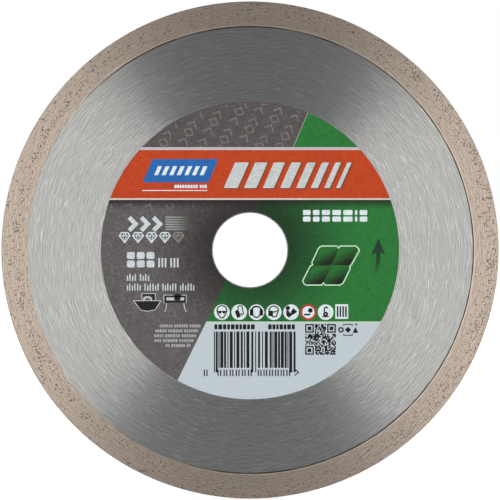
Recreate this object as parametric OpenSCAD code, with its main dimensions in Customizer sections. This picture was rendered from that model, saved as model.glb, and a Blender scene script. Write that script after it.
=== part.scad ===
// Continuous-rim diamond blade for ceramic tile: a ground steel core with an arbor bore, a sintered rim
// that is keyed round the core's edge, the crystals that stand out of the rim, and a stuck-on label.
// The origin is the centre of the bore at mid-thickness. The blade stands in the XZ plane with its bore
// axis along Y, its labelled front towards -Y and the top of the label towards +Z.

/* [Blade] */
// Outside diameter, measured over the crystals
blade_d = 200; // [180:1:230]
// Diameter of the arbor bore
bore_d = 30; // [20:0.1:30]
// Bevel on both edges of the bore
bore_bevel = 0.1; // [0.05:0.05:0.3]

/* [Steel core] */
// Thickness of the steel core
core_t = 1.6; // [1.2:0.1:1.8]
// How far the core's edge reaches in under the rim
core_lap = 2.2; // [1.5:0.1:2.4]
// How much each side of that edge is ground back, so that the bond grips over a step
edge_relief = 0.05; // [0.02:0.01:0.15]
// Number of round notches that key the rim to the core
notch_count = 48; // [24:1:60]
// Diameter of each round notch
notch_d = 2.4; // [1.5:0.1:2.6]

/* [Rim] */
// Thickness of the rim, which sets the width of cut
rim_t = 2.2; // [2.1:0.1:2.8]
// Radial height of the whole rim, as seen on its face
rim_h = 10.4; // [9:0.1:12]
// Radial height of the diamond-free layer that laps over the core
backing_h = 3.4; // [2.8:0.1:4]
// Bevel worn on the rim's two outer edges
rim_bevel = 0.2; // [0.1:0.05:0.4]
// Width of the slope from the rim's face down to the core
lap_slope = 0.35; // [0.1:0.05:0.6]
// Height of the rim's inner wall below that slope
lap_wall = 0.1; // [0.05:0.01:0.12]

/* [Crystals] */
// Size of a crystal across its flats
grit_d = 0.5; // [0.3:0.05:0.6]
// How far a crystal stands out of the bond
grit_proud = 0.05; // [0.02:0.01:0.1]
// Number of crystals on each face
grit_per_face = 180; // [60:10:240]
// Number of crystals round the outer edge, which is a multiple of four
grit_on_edge = 120; // [60:4:160]

/* [Label] */
// Outside diameter of the label
label_d = 120; // [80:1:150]
// Diameter of the hole in the label
label_hole_d = 30.6; // [30.4:0.1:34]
// Thickness of the adhesive film
adhesive_t = 0.03; // [0.02:0.01:0.05]
// Thickness of the printed face stock
paper_t = 0.1; // [0.06:0.01:0.15]

/* [Hidden] */
$fn = 240;
SMALL_FN = 32;
HEX_SIDES = 6;
GOLDEN_ANGLE = 137.508;
GOLDEN_SHARE = 0.618034;
FULL_TURN = 360;
CUT_OVER = 1;

blade_r = blade_d / 2;
bond_r = blade_r - grit_proud;
bore_r = bore_d / 2;
rim_in_r = blade_r - rim_h;
core_r = rim_in_r + core_lap;
diamond_in_r = rim_in_r + backing_h;
half_core = core_t / 2;
half_rim = rim_t / 2;
notch_step = FULL_TURN / notch_count;
edge_step = FULL_TURN / grit_on_edge;
edge_offset = half_rim / 3;
grit_room = bond_r - diamond_in_r - 3 * grit_d;

STEEL = "#b6b7b3";
BACKING = "#b09a82";
BOND = "#b8a38c";
CRYSTAL = "#55473a";
GLUE = "#e8e6d8";
PAPER = "#58524f";

// Turns a piece that is built round Z so that it lies round Y, with its +Z side to the front
module on_bore_axis() {
    rotate([90, 0, 0]) children();
}

// A flat ring from z up to z + h
module flat_ring(r_in, r_out, z, h) {
    translate([0, 0, z]) difference() {
        cylinder(r = r_out, h = h);
        translate([0, 0, -CUT_OVER]) cylinder(r = r_in, h = h + 2 * CUT_OVER);
    }
}

// The disc that the core is cut from, with its notched edge
module notched_disc() {
    difference() {
        union() {
            cylinder(r = rim_in_r, h = core_t, center = true);
            cylinder(r = core_r, h = core_t - 2 * edge_relief, center = true);
        }
        for (i = [0 : notch_count - 1]) rotate([0, 0, i * notch_step]) translate([core_r, 0, 0])
            cylinder(d = notch_d, h = core_t + CUT_OVER, center = true, $fn = SMALL_FN);
    }
}

// The bore, with a bevel at both ends
module bevelled_bore() {
    cylinder(r = bore_r, h = core_t + CUT_OVER, center = true);
    for (side = [0, 1]) mirror([0, 0, side]) rotate_extrude() polygon([
        [0, half_core - bore_bevel],
        [bore_r, half_core - bore_bevel],
        [bore_r + bore_bevel, half_core],
        [0, half_core]
    ]);
}

// One crystal, standing on the bond at height z
module crystal(z) {
    translate([0, 0, z]) cylinder(d = grit_d, h = grit_proud, $fn = HEX_SIDES);
}

module steel_core() {
    color(STEEL) on_bore_axis() difference() {
        notched_disc();
        bevelled_bore();
    }
}

module backing_ring() {
    color(BACKING) on_bore_axis() difference() {
        rotate_extrude() polygon([
            [rim_in_r, -half_core - lap_wall],
            [rim_in_r + lap_slope, -half_rim],
            [diamond_in_r, -half_rim],
            [diamond_in_r, half_rim],
            [rim_in_r + lap_slope, half_rim],
            [rim_in_r, half_core + lap_wall]
        ]);
        notched_disc();
    }
}

module diamond_rim() {
    color(BOND) on_bore_axis() rotate_extrude() polygon([
        [diamond_in_r, -half_rim],
        [bond_r - rim_bevel, -half_rim],
        [bond_r, -half_rim + rim_bevel],
        [bond_r, half_rim - rim_bevel],
        [bond_r - rim_bevel, half_rim],
        [diamond_in_r, half_rim]
    ]);
}

// Crystals spread evenly over one face by the golden angle, which never lines them up
module face_grit() {
    for (i = [0 : grit_per_face - 1]) {
        share = i * GOLDEN_SHARE - floor(i * GOLDEN_SHARE);
        rotate([0, 0, i * GOLDEN_ANGLE]) translate([diamond_in_r + 1.5 * grit_d + share * grit_room, 0, 0])
            crystal(half_rim);
    }
}

// Crystals round the cutting edge, in two staggered rows
module edge_grit() {
    for (i = [0 : grit_on_edge - 1]) rotate([0, 0, i * edge_step])
        translate([0, 0, i % 2 == 0 ? edge_offset : -edge_offset]) rotate([0, 90, 0]) crystal(bond_r);
}

module diamond_grit() {
    color(CRYSTAL) on_bore_axis() {
        face_grit();
        mirror([0, 0, 1]) face_grit();
        edge_grit();
    }
}

module label_adhesive() {
    color(GLUE) on_bore_axis() flat_ring(label_hole_d / 2, label_d / 2, half_core, adhesive_t);
}

module label_paper() {
    color(PAPER) on_bore_axis() flat_ring(label_hole_d / 2, label_d / 2, half_core + adhesive_t, paper_t);
}

steel_core();
backing_ring();
diamond_rim();
diamond_grit();
label_adhesive();
label_paper();
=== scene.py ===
"""Finishes and fine detail for a continuous-rim diamond blade.

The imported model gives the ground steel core, the backing ring, the label's paper and its adhesive, and
they keep their shapes. This script dresses them, makes the worn diamond layer of the rim with its
crystals, and prints the label as thin films of ink. Places are in metres: the bore's axis is Y, the
labelled front faces -Y and +Z is up. Printed shapes are drawn in millimetres from the label's centre.
"""

import logging
import math
import random
from collections.abc import Callable, Iterable, Sequence
from dataclasses import dataclass, field, replace
from enum import Enum

import bpy
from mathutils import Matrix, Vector, noise


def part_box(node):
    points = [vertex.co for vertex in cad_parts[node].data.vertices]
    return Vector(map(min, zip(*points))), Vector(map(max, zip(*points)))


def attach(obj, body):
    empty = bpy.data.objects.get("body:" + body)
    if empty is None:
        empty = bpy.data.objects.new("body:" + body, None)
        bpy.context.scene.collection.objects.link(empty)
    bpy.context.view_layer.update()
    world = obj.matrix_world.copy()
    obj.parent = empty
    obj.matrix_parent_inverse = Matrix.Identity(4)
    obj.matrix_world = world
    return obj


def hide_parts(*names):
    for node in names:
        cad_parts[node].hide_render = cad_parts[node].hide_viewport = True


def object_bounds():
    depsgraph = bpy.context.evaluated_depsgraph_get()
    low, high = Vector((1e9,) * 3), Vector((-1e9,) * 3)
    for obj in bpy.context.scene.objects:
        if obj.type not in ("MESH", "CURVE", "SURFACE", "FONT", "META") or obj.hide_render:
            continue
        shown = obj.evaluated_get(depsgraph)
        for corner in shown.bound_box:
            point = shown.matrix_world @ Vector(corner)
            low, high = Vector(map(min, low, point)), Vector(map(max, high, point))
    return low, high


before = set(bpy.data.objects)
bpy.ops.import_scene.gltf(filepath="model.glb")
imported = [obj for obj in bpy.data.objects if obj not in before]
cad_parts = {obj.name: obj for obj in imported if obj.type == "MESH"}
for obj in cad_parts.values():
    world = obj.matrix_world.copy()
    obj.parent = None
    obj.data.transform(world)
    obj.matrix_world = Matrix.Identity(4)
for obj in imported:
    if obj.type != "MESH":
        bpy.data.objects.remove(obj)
CAD_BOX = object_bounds()

LOG = logging.getLogger("diamond_blade")

MM = 0.001
BODY = "root"
FULL_TURN = 2 * math.pi
GOLDEN_SHARE = (math.sqrt(5) - 1) / 2

# Distance from the lit side of a ground mark to its shaded side.
RIDGE = 0.40 * MM

# The surface that all inks share: satin, with the fibre of the paper showing through.
INK_ROUGHNESS = 0.42
INK_SPECULAR = 0.22
INK_RELIEF = 0.004 * MM
INK_FIBRES = 2600.0

# Radii between which the grey and the green fields change from dark to pale, in metres.
GREY_REACH = (10 * MM, 45 * MM)
GREEN_REACH = (10 * MM, 44 * MM)

Socket = bpy.types.NodeSocket
Value = float | Socket
Colour = tuple[float, float, float, float]
Point = tuple[float, float]
Outline = list[Point]
Place = tuple[float, float, float]


def tone(red: int, green: int, blue: int) -> Colour:
    """Turns a colour as a printer names it into the linear colour that a shader takes.

    Args:
        red: Red, from 0 to 255.
        green: Green, from 0 to 255.
        blue: Blue, from 0 to 255.

    Returns:
        The linear red, green, blue and an alpha of one.
    """

    def linear(step: int) -> float:
        """Linear share of one channel."""
        share = step / 255
        return share / 12.92 if share <= 0.04045 else ((share + 0.055) / 1.055) ** 2.4

    return (linear(red), linear(green), linear(blue), 1.0)


# ---------------------------------------------------------------- node trees


class Nodes:
    """Adds nodes to one node tree, with plain names for the sums that the finishes need."""

    def __init__(self, tree: bpy.types.NodeTree) -> None:
        """Takes over an empty tree.

        Args:
            tree: The tree to build in. What it holds is removed.
        """
        self.tree = tree
        self.tree.nodes.clear()

    def add(self, kind: str, **settings: object) -> bpy.types.Node:
        """Adds a node and sets its own settings.

        Args:
            kind: The node's type name.
            **settings: Names and values of the node's settings.

        Returns:
            The new node.
        """
        node = self.tree.nodes.new(kind)
        for name, value in settings.items():
            setattr(node, name, value)
        return node

    def feed(self, socket: Socket, value: object) -> None:
        """Links a value to a socket, or sets it there when it is a plain number or colour.

        Args:
            socket: The input to fill.
            value: An output of another node, or a plain value.
        """
        if isinstance(value, bpy.types.NodeSocket):
            self.tree.links.new(value, socket)
        else:
            socket.default_value = value

    def sum(self, operation: str, *values: Value) -> Socket:
        """Works out one sum.

        Args:
            operation: The maths node's operation.
            *values: One, two or three numbers or outputs.

        Returns:
            The result's output.
        """
        node = self.add("ShaderNodeMath", operation=operation)
        for socket, value in zip(node.inputs, values, strict=False):
            self.feed(socket, value)
        return node.outputs[0]

    def step(self, value: Value, low: float, high: float, start: float = 0.0, end: float = 1.0) -> Socket:
        """Turns a value into a smooth step between two limits.

        Args:
            value: What to read.
            low: Where the step begins.
            high: Where the step ends.
            start: Result at and before low.
            end: Result at and after high.

        Returns:
            The result's output.
        """
        node = self.add("ShaderNodeMapRange", interpolation_type="SMOOTHSTEP")
        for socket, number in zip(node.inputs, (value, low, high, start, end), strict=False):
            self.feed(socket, number)
        return node.outputs[0]

    def mix(self, share: Value, first: object, second: object, blend: str = "MIX") -> Socket:
        """Mixes two colours.

        Args:
            share: How much of the second colour there is.
            first: Colour or output at a share of zero.
            second: Colour or output at a share of one.
            blend: The way of blending.

        Returns:
            The mixed colour's output.
        """
        node = self.add("ShaderNodeMix", data_type="RGBA", blend_type=blend)
        self.feed(node.inputs[0], share)
        self.feed(node.inputs[6], first)
        self.feed(node.inputs[7], second)
        return node.outputs[2]

    def vector(self, x: Value, y: Value, z: Value) -> Socket:
        """Joins three values into a vector.

        Args:
            x: The first value.
            y: The second value.
            z: The third value.

        Returns:
            The vector's output.
        """
        node = self.add("ShaderNodeCombineXYZ")
        for socket, value in zip(node.inputs, (x, y, z), strict=True):
            self.feed(socket, value)
        return node.outputs[0]

    def parts(self, vector: Socket) -> tuple[Socket, Socket, Socket]:
        """Splits a vector into its three values.

        Args:
            vector: The vector's output.

        Returns:
            The outputs of its three values.
        """
        node = self.add("ShaderNodeSeparateXYZ")
        self.feed(node.inputs[0], vector)
        return tuple(node.outputs)

    def grain(self, vector: Socket, scale: float = 1.0, detail: float = 2.0) -> Socket:
        """Reads soft random values, about 0.5 on average.

        Args:
            vector: Where to read them.
            scale: How many grains there are in one unit.
            detail: How many finer layers are added.

        Returns:
            The value's output.
        """
        node = self.add("ShaderNodeTexNoise", noise_dimensions="3D")
        self.feed(node.inputs["Vector"], vector)
        self.feed(node.inputs["Scale"], scale)
        self.feed(node.inputs["Detail"], detail)
        return node.outputs[0]

    def along(self, x: Value, z: Value, way: Point) -> Socket:
        """Distance along a direction that is square to Y.

        Args:
            x: The place along X.
            z: The place along Z.
            way: The direction's X and Z.

        Returns:
            The distance's output.
        """
        return self.sum("ADD", self.sum("MULTIPLY", x, way[0]), self.sum("MULTIPLY", z, way[1]))

    def place(self) -> Socket:
        """The point on the piece, in metres."""
        return self.add("ShaderNodeTexCoord").outputs["Object"]

    def radius(self, centre: Point = (0.0, 0.0)) -> Socket:
        """Distance from a line that runs along Y.

        Args:
            centre: The line's X and Z, in metres.

        Returns:
            The distance's output, in metres.
        """
        x, _, z = self.parts(self.place())
        across = self.sum("SUBTRACT", x, centre[0])
        up = self.sum("SUBTRACT", z, centre[1])
        squares = self.sum("ADD", self.sum("MULTIPLY", across, across), self.sum("MULTIPLY", up, up))
        return self.sum("SQRT", squares)

    def turning(self, width: float, length: float, centre: Point = (0.0, 0.0), seed: float = 0.0) -> Socket:
        """Coordinates in which grain comes out as marks that run round in circles.

        Args:
            width: Width of a mark, in metres.
            length: Length of a mark, as a share of the radius it lies on.
            centre: Centre of the circles, in metres.
            seed: Shifts the marks, so that two layers differ.

        Returns:
            The coordinates' output.
        """
        x, y, z = self.parts(self.place())
        radius = self.radius(centre)
        around = self.sum("DIVIDE", self.sum("SUBTRACT", x, centre[0]), radius)
        upward = self.sum("DIVIDE", self.sum("SUBTRACT", z, centre[1]), radius)
        depth = self.sum("ADD", self.sum("DIVIDE", y, width), self.sum("DIVIDE", radius, width))
        return self.vector(
            self.sum("ADD", depth, seed),
            self.sum("DIVIDE", around, length),
            self.sum("DIVIDE", upward, length),
        )


class Finish(Nodes):
    """The node tree of one material, with a principled shader ready to fill."""

    def __init__(self, name: str) -> None:
        """Makes the material.

        Args:
            name: The material's name.
        """
        self.material = bpy.data.materials.new(name)
        self.material.use_nodes = True
        super().__init__(self.material.node_tree)
        self.shader = self.add("ShaderNodeBsdfPrincipled")
        output = self.add("ShaderNodeOutputMaterial")
        self.tree.links.new(self.shader.outputs[0], output.inputs[0])

    def put(self, **values: object) -> None:
        """Fills the shader's inputs.

        Args:
            **values: Input names, with an underscore for each space, and what goes in them.
        """
        for name, value in values.items():
            self.feed(self.shader.inputs[name.replace("_", " ")], value)

    def bump(self, height: Value, distance: float) -> None:
        """Roughens the surface's normal.

        Args:
            height: Height of the surface, from 0 to 1.
            distance: What a height of 1 stands for, in metres.
        """
        node = self.add("ShaderNodeBump")
        self.feed(node.inputs["Strength"], 1.0)
        self.feed(node.inputs["Height"], height)
        self.feed(node.inputs["Distance"], distance)
        self.put(Normal=node.outputs[0])

    def spread_across_marks(self, amount: float) -> None:
        """Spreads reflections across marks that run round the bore's axis.

        Args:
            amount: The shader's anisotropy.
        """
        around = self.add("ShaderNodeTangent", direction_type="RADIAL", axis="Y")
        self.put(Anisotropic=amount, Anisotropic_Rotation=0.25, Tangent=around.outputs[0])


# ---------------------------------------------------------------- finishes


@dataclass(frozen=True)
class Marks:
    """One set of marks that a turning wheel leaves: arcs round a centre near the bore's axis.

    Attributes:
        width: Width of a mark, in metres.
        length: Length of a mark, as a share of the radius it lies on.
        centre: Centre of the arcs, in metres.
        seed: Tells one set from the next.
        detail: How many finer marks lie among them.
    """

    width: float
    length: float
    centre: Point = (0.0, 0.0)
    seed: float = 0.0
    detail: float = 1.0

    def read(self, finish: Finish) -> Socket:
        """Reads the marks, about 0.5 on average."""
        run = finish.turning(self.width, self.length, self.centre, self.seed)
        return finish.grain(run, detail=self.detail)

    def ridges(self, finish: Finish) -> Socket:
        """Reads the marks as ridges with a lit and a shaded side, about 0.5 on average."""
        shaded = replace(self, seed=self.seed + RIDGE / self.width).read(finish)
        return finish.sum("ADD", finish.sum("SUBTRACT", self.read(finish), shaded), 0.5)


@dataclass(frozen=True)
class GroundSteel:
    """Steel that a cup wheel has ground in circles that cross one another at a small angle.

    Attributes:
        name: The material's name.
        pale: Colour of the steel on the lit side of the marks, a painted highlight.
        dark: Colour on the shaded side of the marks, painted shade.
        bright: Colour of the bright scratches.
        deep: Colour of the dark scratches.
        bore_edge_dark: Colour of the darker ring of steel round the bore's edge.
        roughness: Roughness between the marks and in them.
        anisotropy: How much more it spreads light across the marks than along them.
        fine: Marks that lie close together all over the core.
        crossing: Marks of the passes whose centre lay off the axis.
        crossing_weight: How strong these are beside the fine marks.
        change: Heights of the marks between which the colour changes.
        scratches: Single scratches. Those of the first set are all bright, and the rest are of both sorts.
        relief: Depth of the marks.
        bore_edge_radius: Radius inside which the steel round the bore is darker.
    """

    name: str = "ground_steel"
    pale: Colour = (0.445, 0.446, 0.428, 1.0)
    dark: Colour = (0.325, 0.326, 0.316, 1.0)
    bright: Colour = (0.66, 0.66, 0.645, 1.0)
    deep: Colour = (0.20, 0.20, 0.20, 1.0)
    bore_edge_dark: Colour = (0.11, 0.11, 0.11, 1.0)
    roughness: tuple[float, float] = (0.32, 0.40)
    anisotropy: float = 0.95
    fine: Marks = Marks(0.23 * MM, 0.065, (0.0012, 0.0006), 0.0, 0.0)
    crossing: tuple[Marks, ...] = (
        Marks(0.24 * MM, 0.055, (0.010, -0.005), 11.0, 0.0),
        Marks(0.24 * MM, 0.055, (-0.011, 0.007), 23.0, 0.0),
    )
    crossing_weight: float = 0.7
    change: tuple[float, float] = (0.36, 0.64)
    scratches: tuple[Marks, ...] = (
        Marks(0.20 * MM, 0.075, (0.014, 0.009), 53.0, 0.0),
        Marks(0.20 * MM, 0.085, (-0.013, -0.010), 71.0, 0.0),
        Marks(0.20 * MM, 0.10, (0.001, -0.002), 97.0, 0.0),
    )
    relief: float = 0.002 * MM
    bore_edge_radius: float = 15.3 * MM

    def make(self) -> bpy.types.Material:
        """Builds the material.

        Returns:
            The material.
        """
        finish = Finish(self.name)
        fine = self.fine.ridges(finish)
        first, second = (marks.ridges(finish) for marks in self.crossing)
        weighed = finish.sum("MULTIPLY", finish.sum("ADD", first, second), self.crossing_weight)
        ground = finish.sum("DIVIDE", finish.sum("ADD", fine, weighed), 1.0 + 2 * self.crossing_weight)
        # The marks' lit and shaded sides are painted into the colour.
        share = finish.step(ground, *self.change)
        body = finish.mix(share, self.dark, self.pale)
        for number, marks in enumerate(self.scratches):
            trace = marks.read(finish)
            body = finish.mix(finish.step(trace, 0.73, 0.80, 0.0, 0.8), body, self.bright)
            if number:
                deep = finish.sum("SUBTRACT", 1.0, finish.step(trace, 0.22, 0.285))
                body = finish.mix(finish.sum("MULTIPLY", deep, 0.5), body, self.deep)
        # Darker ring of steel round the bore's edge.
        near_bore_edge = finish.step(finish.radius(), self.bore_edge_radius, self.bore_edge_radius + 0.1 * MM, 0.7, 0.0)
        body = finish.mix(near_bore_edge, body, self.bore_edge_dark)
        rough = finish.step(share, 0.0, 1.0, self.roughness[1], self.roughness[0])
        finish.put(Base_Color=body, Metallic=1.0, Roughness=rough)
        finish.bump(ground, self.relief)
        finish.spread_across_marks(self.anisotropy)
        return finish.material


@dataclass(frozen=True)
class SinteredBond:
    """Sintered bronze bond that has been dressed, with fine marks and small pores.

    Attributes:
        name: The material's name.
        pale: Colour on the lit side of the dressed ridges, a painted highlight.
        dark: Colour on their shaded side, painted shade, and of the darker clumps in the bond.
        pore_shade: Painted shade inside the pores.
        cloud: Colour that comes and goes over the ring in broad clouds.
        bevel: Colour towards the outer edge, over the bevel.
        lip_highlight: Painted highlight on the bond just outside the dark line at the seam.
        seam_line_dark: Colour of the dark line along the slope at the seam.
        metallic: Share of bare metal.
        roughness: Roughness on the ridges and in the marks.
        pores: How strongly the pores show.
        seam: Radius where the bond meets the core, or zero where it doesn't.
        edge: Radius of the outer edge, where the bevel is darker, or zero.
    """

    name: str
    pale: Colour = (0.538, 0.442, 0.366, 1.0)
    dark: Colour = (0.366, 0.298, 0.242, 1.0)
    pore_shade: Colour = (0.09, 0.078, 0.065, 1.0)
    cloud: Colour = (0.43, 0.37, 0.325, 1.0)
    bevel: Colour = (0.26, 0.225, 0.195, 1.0)
    lip_highlight: Colour = (0.72, 0.61, 0.52, 1.0)
    seam_line_dark: Colour = (0.050, 0.036, 0.026, 1.0)
    metallic: float = 0.9
    roughness: tuple[float, float] = (0.40, 0.50)
    pores: float = 0.8
    seam: float = 0.0
    edge: float = 0.0

    def make(self) -> bpy.types.Material:
        """Builds the material.

        Returns:
            The material.
        """
        finish = Finish(self.name)
        fine = Marks(0.26 * MM, 0.040, seed=3.0, detail=0.0).ridges(finish)
        crossing = Marks(0.30 * MM, 0.030, (0.002, 0.001), 17.0, 0.0).ridges(finish)
        streak = finish.step(finish.sum("ADD", fine, crossing), 0.71, 1.29)
        clumps = finish.grain(finish.place(), 2100.0, 1.0)
        # The ridges' lit and shaded sides are painted into the colour.
        body = finish.mix(streak, self.dark, self.pale)
        body = finish.mix(finish.step(clumps, 0.50, 0.72, 0.0, 0.50), body, self.dark)
        cloud = finish.grain(finish.place(), 210.0, 2.0)
        body = finish.mix(finish.step(cloud, 0.4, 0.7, 0.0, 0.15), body, self.cloud)
        speck = finish.grain(finish.place(), 1300.0, 0.0)
        pores = finish.step(speck, 0.715, 0.76, 0.0, self.pores)
        # Painted shade inside the pores.
        body = finish.mix(pores, body, self.pore_shade)
        radius = finish.radius()
        if self.seam:
            body = self.with_seam(finish, body, radius)
        if self.edge:
            # Darker towards the outer edge, over the bevel.
            worn = finish.step(radius, self.edge - 0.50 * MM, self.edge - 0.15 * MM, 0.0, 0.6)
            body = finish.mix(worn, body, self.bevel)
        finish.put(Base_Color=body, Metallic=self.metallic)
        finish.put(Roughness=finish.step(streak, 0.0, 1.0, self.roughness[1], self.roughness[0]))
        finish.bump(finish.sum("SUBTRACT", streak, finish.sum("MULTIPLY", pores, 1.5)), 0.005 * MM)
        finish.spread_across_marks(0.8)
        return finish.material

    def with_seam(self, finish: Finish, body: Socket, radius: Socket) -> Socket:
        """Darkens a thin line on the slope down to the core, and paints a highlight on the bond just outside
        it.

        Round towards -X neither the line nor the highlight shows.

        Args:
            finish: The tree to build in.
            body: The bond's colour.
            radius: Distance from the bore's axis.

        Returns:
            The colour with the seam.
        """
        x, _, z = finish.parts(finish.place())
        toward = finish.along(x, z, (0.966, 0.259))
        kept = finish.step(finish.sum("DIVIDE", toward, radius), -0.60, -0.36)
        patchy = finish.step(Marks(0.5 * MM, 0.1, seed=5.0).read(finish), 0.25, 0.6, 0.7, 1.0)
        # Painted highlight on the bond just outside the dark line.
        lip_highlight = finish.step(radius, self.seam + 0.75 * MM, self.seam + 1.05 * MM, 0.55, 0.0)
        body = finish.mix(finish.sum("MULTIPLY", kept, lip_highlight), body, self.lip_highlight)
        # A dark line on the slope at the seam.
        line = finish.step(radius, self.seam + 0.38 * MM, self.seam + 0.56 * MM, 1.0, 0.0)
        share = finish.sum("MULTIPLY", finish.sum("MULTIPLY", kept, line), patchy)
        return finish.mix(share, body, self.seam_line_dark)


@dataclass(frozen=True)
class Crystal:
    """Industrial diamond: most grains are dark, and a few are pale and clear.

    Attributes:
        name: The material's name.
        dark: Colour of most grains.
        pale: Colour of a few.
        facet: Colour of the facets that catch the light.
    """

    name: str = "crystal"
    dark: Colour = (0.042, 0.032, 0.022, 1.0)
    pale: Colour = (0.50, 0.43, 0.32, 1.0)
    facet: Colour = (0.15, 0.115, 0.085, 1.0)

    def make(self) -> bpy.types.Material:
        """Builds the material.

        Returns:
            The material.
        """
        finish = Finish(self.name)
        sort = finish.grain(finish.place(), 900.0, 0.0)
        facet = finish.grain(finish.place(), 5200.0, 1.0)
        body = finish.mix(finish.step(sort, 0.66, 0.70), self.dark, self.pale)
        body = finish.mix(finish.step(facet, 0.3, 0.7, 0.0, 0.5), body, self.facet)
        finish.put(Base_Color=body, Roughness=0.25, IOR=1.9)
        return finish.material


@dataclass(frozen=True)
class Paper:
    """White label stock with a short fibre, which shows at its cut edges.

    Attributes:
        name: The material's name.
        shade: Colour of the paper.
        fibre: Colour of its fibre.
    """

    name: str = "label_stock"
    shade: Colour = tone(226, 224, 216)
    fibre: Colour = tone(186, 184, 176)

    def make(self) -> bpy.types.Material:
        """Builds the material.

        Returns:
            The material.
        """
        finish = Finish(self.name)
        fibre = finish.grain(finish.place(), 3200.0, 3.0)
        body = finish.mix(finish.step(fibre, 0.3, 0.7, 0.0, 0.35), self.shade, self.fibre)
        finish.put(Base_Color=body, Roughness=0.6)
        finish.bump(fibre, 0.01 * MM)
        return finish.material


@dataclass(frozen=True)
class Glue:
    """Clear-white acrylic adhesive, seen only as a thin line at the label's edge.

    Attributes:
        name: The material's name.
        dull: Colour where it is thick.
        clear: Colour where it is thin.
    """

    name: str = "adhesive"
    dull: Colour = tone(214, 211, 196)
    clear: Colour = tone(236, 234, 224)

    def make(self) -> bpy.types.Material:
        """Builds the material.

        Returns:
            The material.
        """
        finish = Finish(self.name)
        ripple = finish.grain(finish.place(), 1500.0, 2.0)
        finish.put(Base_Color=finish.mix(ripple, self.dull, self.clear), Roughness=0.28)
        finish.bump(ripple, 0.01 * MM)
        return finish.material


def mottled(finish: Finish, body: object, amount: float) -> Socket:
    """Makes a printed colour uneven, as ink on paper is.

    Args:
        finish: The tree to build in.
        body: The even colour.
        amount: How much lighter and darker it becomes, as a share.

    Returns:
        The uneven colour.
    """
    dots = finish.grain(finish.place(), 1500.0, 1.0)
    cloud = finish.grain(finish.place(), 420.0, 1.0)
    share = finish.step(finish.sum("ADD", dots, finish.sum("MULTIPLY", cloud, 0.35)), 0.42, 0.93)
    low, high = 1.0 - amount, 1.0 + amount
    darker = finish.mix(1.0, body, (low, low, low, 1.0), "MULTIPLY")
    lighter = finish.mix(1.0, body, (high, high, high, 1.0), "MULTIPLY")
    return finish.mix(share, darker, lighter)


def dithered(finish: Finish, share: Socket) -> Socket:
    """Breaks a smooth change of colour up into fine dots, as printing does.

    Args:
        finish: The tree to build in.
        share: The smooth change.

    Returns:
        The change in dots.
    """
    dots = finish.grain(finish.place(), INK_FIBRES, 2.0)
    return finish.sum("ADD", share, finish.step(dots, 0.3, 0.7, -0.06, 0.06))


def printed(finish: Finish, body: object, roughness: float = INK_ROUGHNESS) -> bpy.types.Material:
    """Gives an ink its colour and the surface that all inks share.

    Args:
        finish: The tree to build in.
        body: The ink's colour.
        roughness: The shader's roughness.

    Returns:
        The material.
    """
    finish.put(Base_Color=body, Roughness=roughness, Specular_IOR_Level=INK_SPECULAR)
    finish.bump(finish.grain(finish.place(), INK_FIBRES, 2.0), INK_RELIEF)
    return finish.material


@dataclass(frozen=True)
class Ink:
    """One printed colour: satin, slightly mottled, and with a shade that may change across the label.

    Attributes:
        name: The material's name.
        shade: The colour far from the bore.
        inner: The colour near the bore, or None where the shade is even.
        mottle: How much lighter and darker the mottling makes it.
        reach: Radii between which the shade changes, in metres.
        centre: Centre of that change, in metres.
        shadow_under: Height of a line that throws a printed shadow downwards, in metres, or zero.
        shadow_depth: How far down the shadow reaches, in metres.
        shadow: Colour of the shadow.
    """

    name: str
    shade: Colour
    inner: Colour | None = None
    mottle: float = 0.10
    reach: tuple[float, float] = (8 * MM, 50 * MM)
    centre: Point = (2 * MM, 3 * MM)
    shadow_under: float = 0.0
    shadow_depth: float = 4.2 * MM
    shadow: Colour = tone(24, 22, 20)

    def make(self) -> bpy.types.Material:
        """Builds the material.

        Returns:
            The material.
        """
        finish = Finish(self.name)
        body: object = self.shade
        if self.inner is not None:
            outward = finish.step(finish.radius(self.centre), *self.reach)
            body = finish.mix(outward, self.inner, self.shade)
        if self.shadow_under:
            _, _, z = finish.parts(finish.place())
            rising = finish.step(z, self.shadow_under - self.shadow_depth, self.shadow_under, 0.0, 0.85)
            under = finish.sum("LESS_THAN", z, self.shadow_under + 0.1 * MM)
            body = finish.mix(finish.sum("MULTIPLY", rising, under), body, self.shadow)
        return printed(finish, mottled(finish, body, self.mottle))


@dataclass(frozen=True)
class FadingInk:
    """Ink that fades along a direction from one shade into the ground that it is printed on.

    Attributes:
        name: The material's name.
        strong: Shade where the fading starts.
        faint: Shade where it ends.
        way: X and Z of the direction.
        start: Where the fading starts along it, in metres.
        end: Where the fading ends, in metres.
    """

    name: str
    strong: Colour
    faint: Colour
    way: Point
    start: float
    end: float

    def make(self) -> bpy.types.Material:
        """Builds the material.

        Returns:
            The material.
        """
        finish = Finish(self.name)
        x, _, z = finish.parts(finish.place())
        fade = dithered(finish, finish.step(finish.along(x, z, self.way), self.start, self.end))
        return printed(finish, mottled(finish, finish.mix(fade, self.strong, self.faint), 0.1))


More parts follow.
